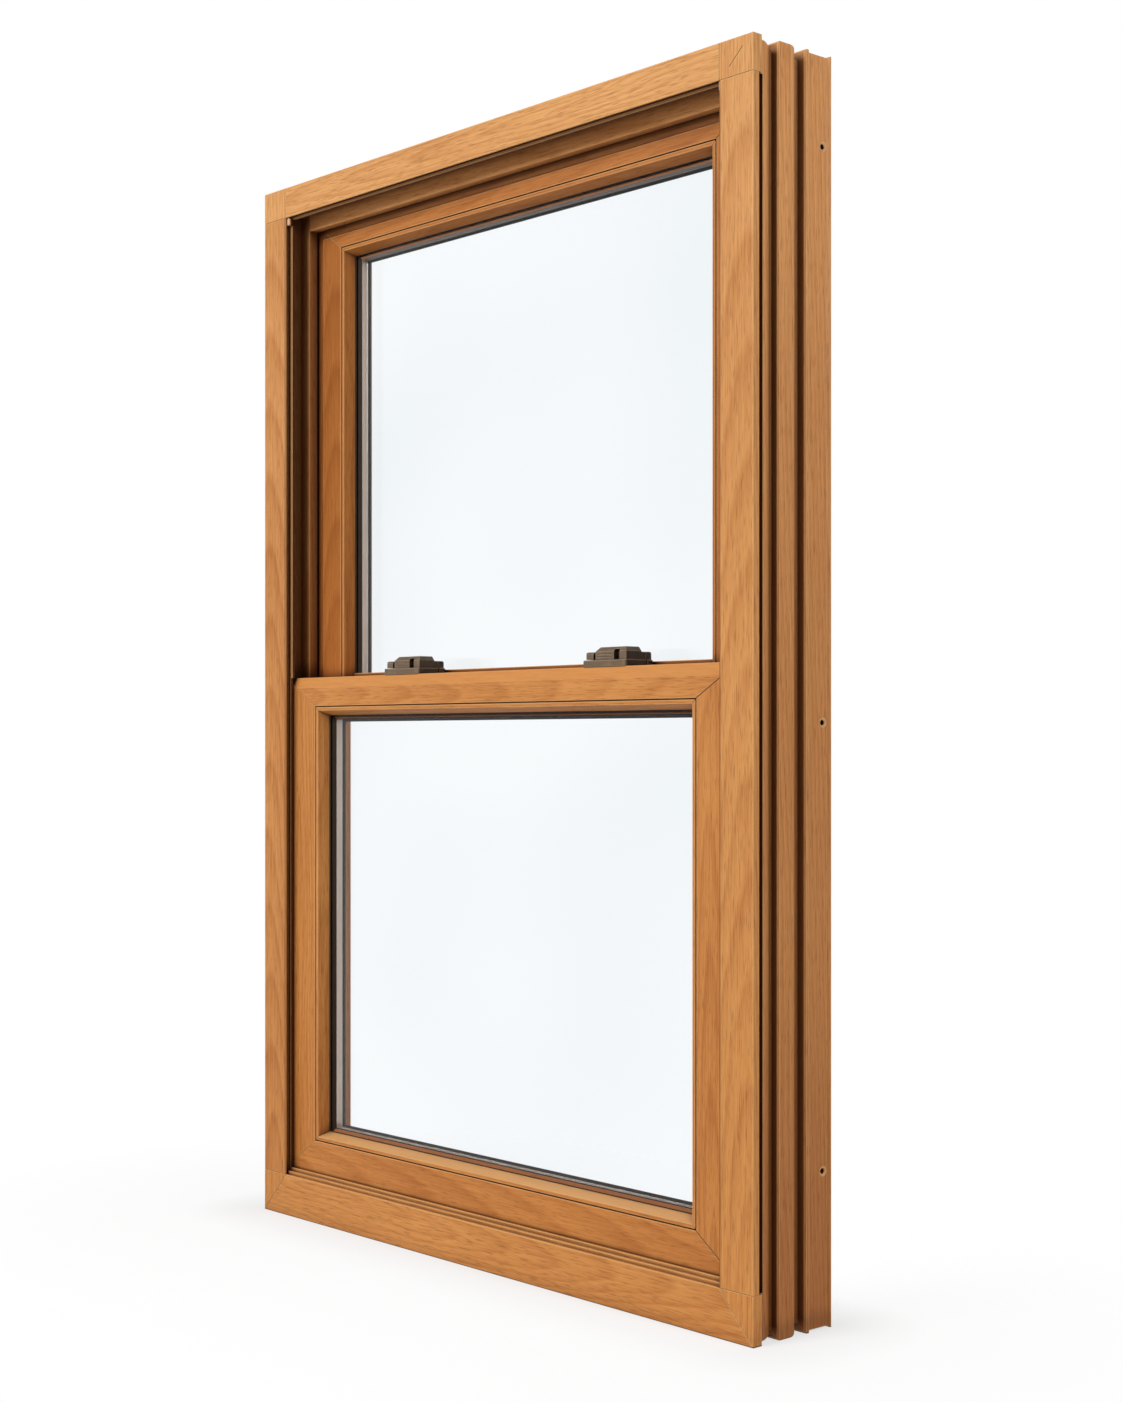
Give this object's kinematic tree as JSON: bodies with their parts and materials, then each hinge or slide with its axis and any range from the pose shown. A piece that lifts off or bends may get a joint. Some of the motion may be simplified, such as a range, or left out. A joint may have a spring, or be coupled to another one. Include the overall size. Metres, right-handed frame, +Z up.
{
  "type": "double hung window",
  "caption": "Wood double hung window with a profiled frame, face boards, upper and lower sashes of insulated glass, and cam locks on the meeting rail.",
  "frame": {"origin": "bottom centre of the window's bounding box", "axes": "+Z up, +Y from the room face toward the exterior, +X to the right as seen from the room"},
  "size_m": [0.864, 0.119, 1.32],
  "materials": {
    "frame_wood": "satin",
    "board_wood": "satin",
    "sash_wood": "satin",
    "bead_wood": "satin",
    "glass": "gloss",
    "spacer_metal": "satin",
    "gasket": "matte",
    "lock_bronze": "satin",
    "weatherstrip": "matte",
    "bumper": "matte"
  },
  "bodies": {
    "root": {"board_corner_keys": "board_wood", "face_weatherstrip": "weatherstrip", "head_bumpers": "bumper", "head_face_board": "board_wood", "head_jamb": "frame_wood", "head_parting_stop": "frame_wood", "left_face_board": "board_wood", "left_jamb": "frame_wood", "left_lock_base": "lock_bronze", "left_lock_housing": "lock_bronze", "left_lock_keeper": "lock_bronze", "left_lock_lever": "lock_bronze", "left_parting_stop": "frame_wood", "lower_bottom_rail": "sash_wood", "lower_glazing_beads": "bead_wood", "lower_inner_gasket": "gasket", "lower_inner_pane": "glass", "lower_left_stile": "sash_wood", "lower_outer_gasket": "gasket", "lower_outer_pane": "glass", "lower_right_stile": "sash_wood", "lower_spacer": "spacer_metal", "lower_top_rail": "sash_wood", "right_face_board": "board_wood", "right_jamb": "frame_wood", "right_lock_base": "lock_bronze", "right_lock_housing": "lock_bronze", "right_lock_keeper": "lock_bronze", "right_lock_lever": "lock_bronze", "right_parting_stop": "frame_wood", "sill": "frame_wood", "sill_face_board": "board_wood", "upper_bottom_rail": "sash_wood", "upper_glazing_beads": "bead_wood", "upper_inner_gasket": "gasket", "upper_inner_pane": "glass", "upper_left_stile": "sash_wood", "upper_outer_gasket": "gasket", "upper_outer_pane": "glass", "upper_right_stile": "sash_wood", "upper_spacer": "spacer_metal", "upper_top_rail": "sash_wood"}
  },
  "joints": []
}
